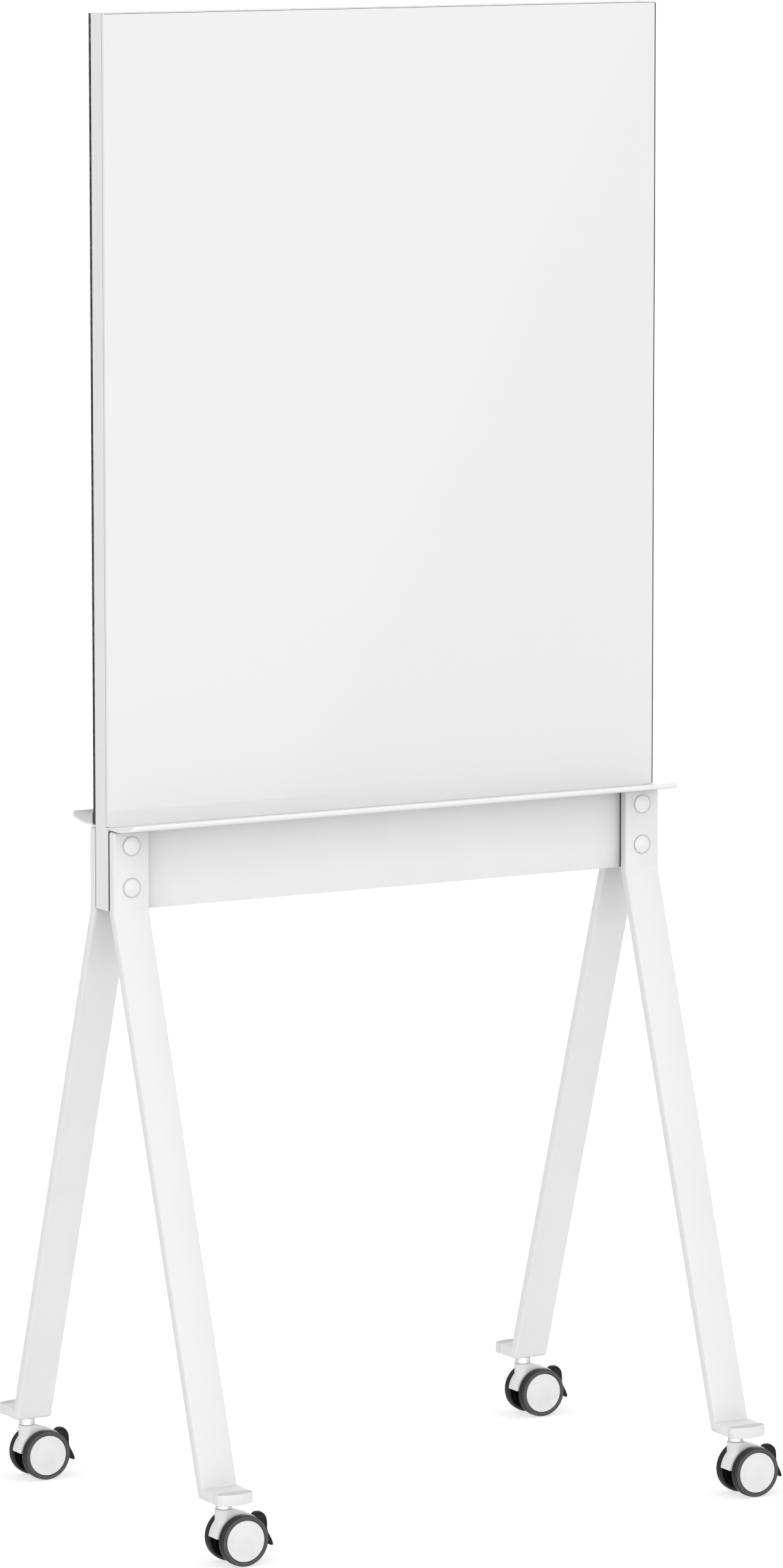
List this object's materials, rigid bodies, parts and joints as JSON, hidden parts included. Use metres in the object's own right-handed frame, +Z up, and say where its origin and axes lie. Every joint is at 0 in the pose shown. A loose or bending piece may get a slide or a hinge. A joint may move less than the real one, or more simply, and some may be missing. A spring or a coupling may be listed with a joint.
{
  "type": "rolling whiteboard",
  "caption": "Rolling whiteboard with a white glass front, a black felt back, a pen tray on each side and four splayed legs on braked twin-wheel castors.",
  "frame": {"origin": "on the floor, under the middle of the box around the whole part with every castor trailing towards +X", "axes": "+Z up; -Y is the glass side and +Y the felt side; +X is to the right for someone who faces the glass"},
  "size_m": [0.84, 0.618, 1.91],
  "materials": {
    "frame_white": "white powder coat, fine satin texture",
    "steel_white": "white powder coat, satin",
    "core": "raw fibreboard, hidden behind glass and felt",
    "glass_white": "clear glass painted white on its back, glossy",
    "felt_black": "dense pin felt, matte",
    "rail_black": "black, semi-matte",
    "tray_white": "white powder coat, satin",
    "gasket_grey": "matte",
    "plastic_white": "moulded white nylon, soft sheen",
    "fastener_white": "white coated domed head",
    "steel_zinc": "zinc plated",
    "tyre_black": "soft black polyurethane tread, slight sheen",
    "plastic_black": "black moulded nylon, glossy"
  },
  "bodies": {
    "board_and_stand": {"edge_frame": "frame_white", "lower_beam": "steel_white", "core_board": "core", "glass_panel": "glass_white", "felt_panel": "felt_black", "felt_rail": "rail_black", "front_tray": "tray_white", "back_tray": "tray_white", "front_left_leg": "steel_white", "front_left_leg_gasket": "gasket_grey", "front_left_foot_cap": "plastic_white", "front_left_castor_stem": "steel_zinc", "front_right_leg": "steel_white", "front_right_leg_gasket": "gasket_grey", "front_right_foot_cap": "plastic_white", "front_right_castor_stem": "steel_zinc", "back_left_leg": "steel_white", "back_left_leg_gasket": "gasket_grey", "back_left_foot_cap": "plastic_white", "back_left_castor_stem": "steel_zinc", "back_right_leg": "steel_white", "back_right_leg_gasket": "gasket_grey", "back_right_foot_cap": "plastic_white", "back_right_castor_stem": "steel_zinc", "left_lower_bolt": "fastener_white", "left_lower_sleeve_nut": "fastener_white", "left_upper_bolt": "fastener_white", "left_upper_sleeve_nut": "fastener_white", "right_lower_bolt": "fastener_white", "right_lower_sleeve_nut": "fastener_white", "right_upper_bolt": "fastener_white", "right_upper_sleeve_nut": "fastener_white"},
    "front_left_swivel": {"front_left_castor_body": "plastic_white", "front_left_castor_axle": "steel_zinc"},
    "front_left_front_wheel": {"front_left_castor_front_wheel": "tyre_black", "front_left_castor_front_hub_cover": "plastic_white"},
    "front_left_back_wheel": {"front_left_castor_back_wheel": "tyre_black", "front_left_castor_back_hub_cover": "plastic_white"},
    "front_left_lever": {"front_left_brake_lever": "plastic_black"},
    "front_right_swivel": {"front_right_castor_body": "plastic_white", "front_right_castor_axle": "steel_zinc"},
    "front_right_front_wheel": {"front_right_castor_front_wheel": "tyre_black", "front_right_castor_front_hub_cover": "plastic_white"},
    "front_right_back_wheel": {"front_right_castor_back_wheel": "tyre_black", "front_right_castor_back_hub_cover": "plastic_white"},
    "front_right_lever": {"front_right_brake_lever": "plastic_black"},
    "back_left_swivel": {"back_left_castor_body": "plastic_white", "back_left_castor_axle": "steel_zinc"},
    "back_left_front_wheel": {"back_left_castor_front_wheel": "tyre_black", "back_left_castor_front_hub_cover": "plastic_white"},
    "back_left_back_wheel": {"back_left_castor_back_wheel": "tyre_black", "back_left_castor_back_hub_cover": "plastic_white"},
    "back_left_lever": {"back_left_brake_lever": "plastic_black"},
    "back_right_swivel": {"back_right_castor_body": "plastic_white", "back_right_castor_axle": "steel_zinc"},
    "back_right_front_wheel": {"back_right_castor_front_wheel": "tyre_black", "back_right_castor_front_hub_cover": "plastic_white"},
    "back_right_back_wheel": {"back_right_castor_back_wheel": "tyre_black", "back_right_castor_back_hub_cover": "plastic_white"},
    "back_right_lever": {"back_right_brake_lever": "plastic_black"}
  },
  "joints": [
    {"name": "front_left_castor_swivel", "type": "hinge", "parent": "board_and_stand", "child": "front_left_swivel", "pos_m": [-0.395, -0.27, 0.0713], "axis": [0, 0, 1], "continuous": true},
    {"name": "front_left_front_wheel_roll", "type": "hinge", "parent": "front_left_swivel", "child": "front_left_front_wheel", "pos_m": [-0.377, -0.27, 0.0325], "axis": [0, 1, 0], "continuous": true},
    {"name": "front_left_back_wheel_roll", "type": "hinge", "parent": "front_left_swivel", "child": "front_left_back_wheel", "pos_m": [-0.377, -0.27, 0.0325], "axis": [0, 1, 0], "continuous": true},
    {"name": "front_left_brake_lever_press", "type": "hinge", "parent": "front_left_swivel", "child": "front_left_lever", "pos_m": [-0.35, -0.27, 0.0435], "axis": [0, 1, 0], "range_deg": [0, 14]},
    {"name": "front_right_castor_swivel", "type": "hinge", "parent": "board_and_stand", "child": "front_right_swivel", "pos_m": [0.355, -0.27, 0.0713], "axis": [0, 0, 1], "continuous": true},
    {"name": "front_right_front_wheel_roll", "type": "hinge", "parent": "front_right_swivel", "child": "front_right_front_wheel", "pos_m": [0.373, -0.27, 0.0325], "axis": [0, 1, 0], "continuous": true},
    {"name": "front_right_back_wheel_roll", "type": "hinge", "parent": "front_right_swivel", "child": "front_right_back_wheel", "pos_m": [0.373, -0.27, 0.0325], "axis": [0, 1, 0], "continuous": true},
    {"name": "front_right_brake_lever_press", "type": "hinge", "parent": "front_right_swivel", "child": "front_right_lever", "pos_m": [0.4, -0.27, 0.0435], "axis": [0, 1, 0], "range_deg": [0, 14]},
    {"name": "back_left_castor_swivel", "type": "hinge", "parent": "board_and_stand", "child": "back_left_swivel", "pos_m": [-0.395, 0.27, 0.0713], "axis": [0, 0, 1], "continuous": true},
    {"name": "back_left_front_wheel_roll", "type": "hinge", "parent": "back_left_swivel", "child": "back_left_front_wheel", "pos_m": [-0.377, 0.27, 0.0325], "axis": [0, 1, 0], "continuous": true},
    {"name": "back_left_back_wheel_roll", "type": "hinge", "parent": "back_left_swivel", "child": "back_left_back_wheel", "pos_m": [-0.377, 0.27, 0.0325], "axis": [0, 1, 0], "continuous": true},
    {"name": "back_left_brake_lever_press", "type": "hinge", "parent": "back_left_swivel", "child": "back_left_lever", "pos_m": [-0.35, 0.27, 0.0435], "axis": [0, 1, 0], "range_deg": [0, 14]},
    {"name": "back_right_castor_swivel", "type": "hinge", "parent": "board_and_stand", "child": "back_right_swivel", "pos_m": [0.355, 0.27, 0.0713], "axis": [0, 0, 1], "continuous": true},
    {"name": "back_right_front_wheel_roll", "type": "hinge", "parent": "back_right_swivel", "child": "back_right_front_wheel", "pos_m": [0.373, 0.27, 0.0325], "axis": [0, 1, 0], "continuous": true},
    {"name": "back_right_back_wheel_roll", "type": "hinge", "parent": "back_right_swivel", "child": "back_right_back_wheel", "pos_m": [0.373, 0.27, 0.0325], "axis": [0, 1, 0], "continuous": true},
    {"name": "back_right_brake_lever_press", "type": "hinge", "parent": "back_right_swivel", "child": "back_right_lever", "pos_m": [0.4, 0.27, 0.0435], "axis": [0, 1, 0], "range_deg": [0, 14]}
  ]
}
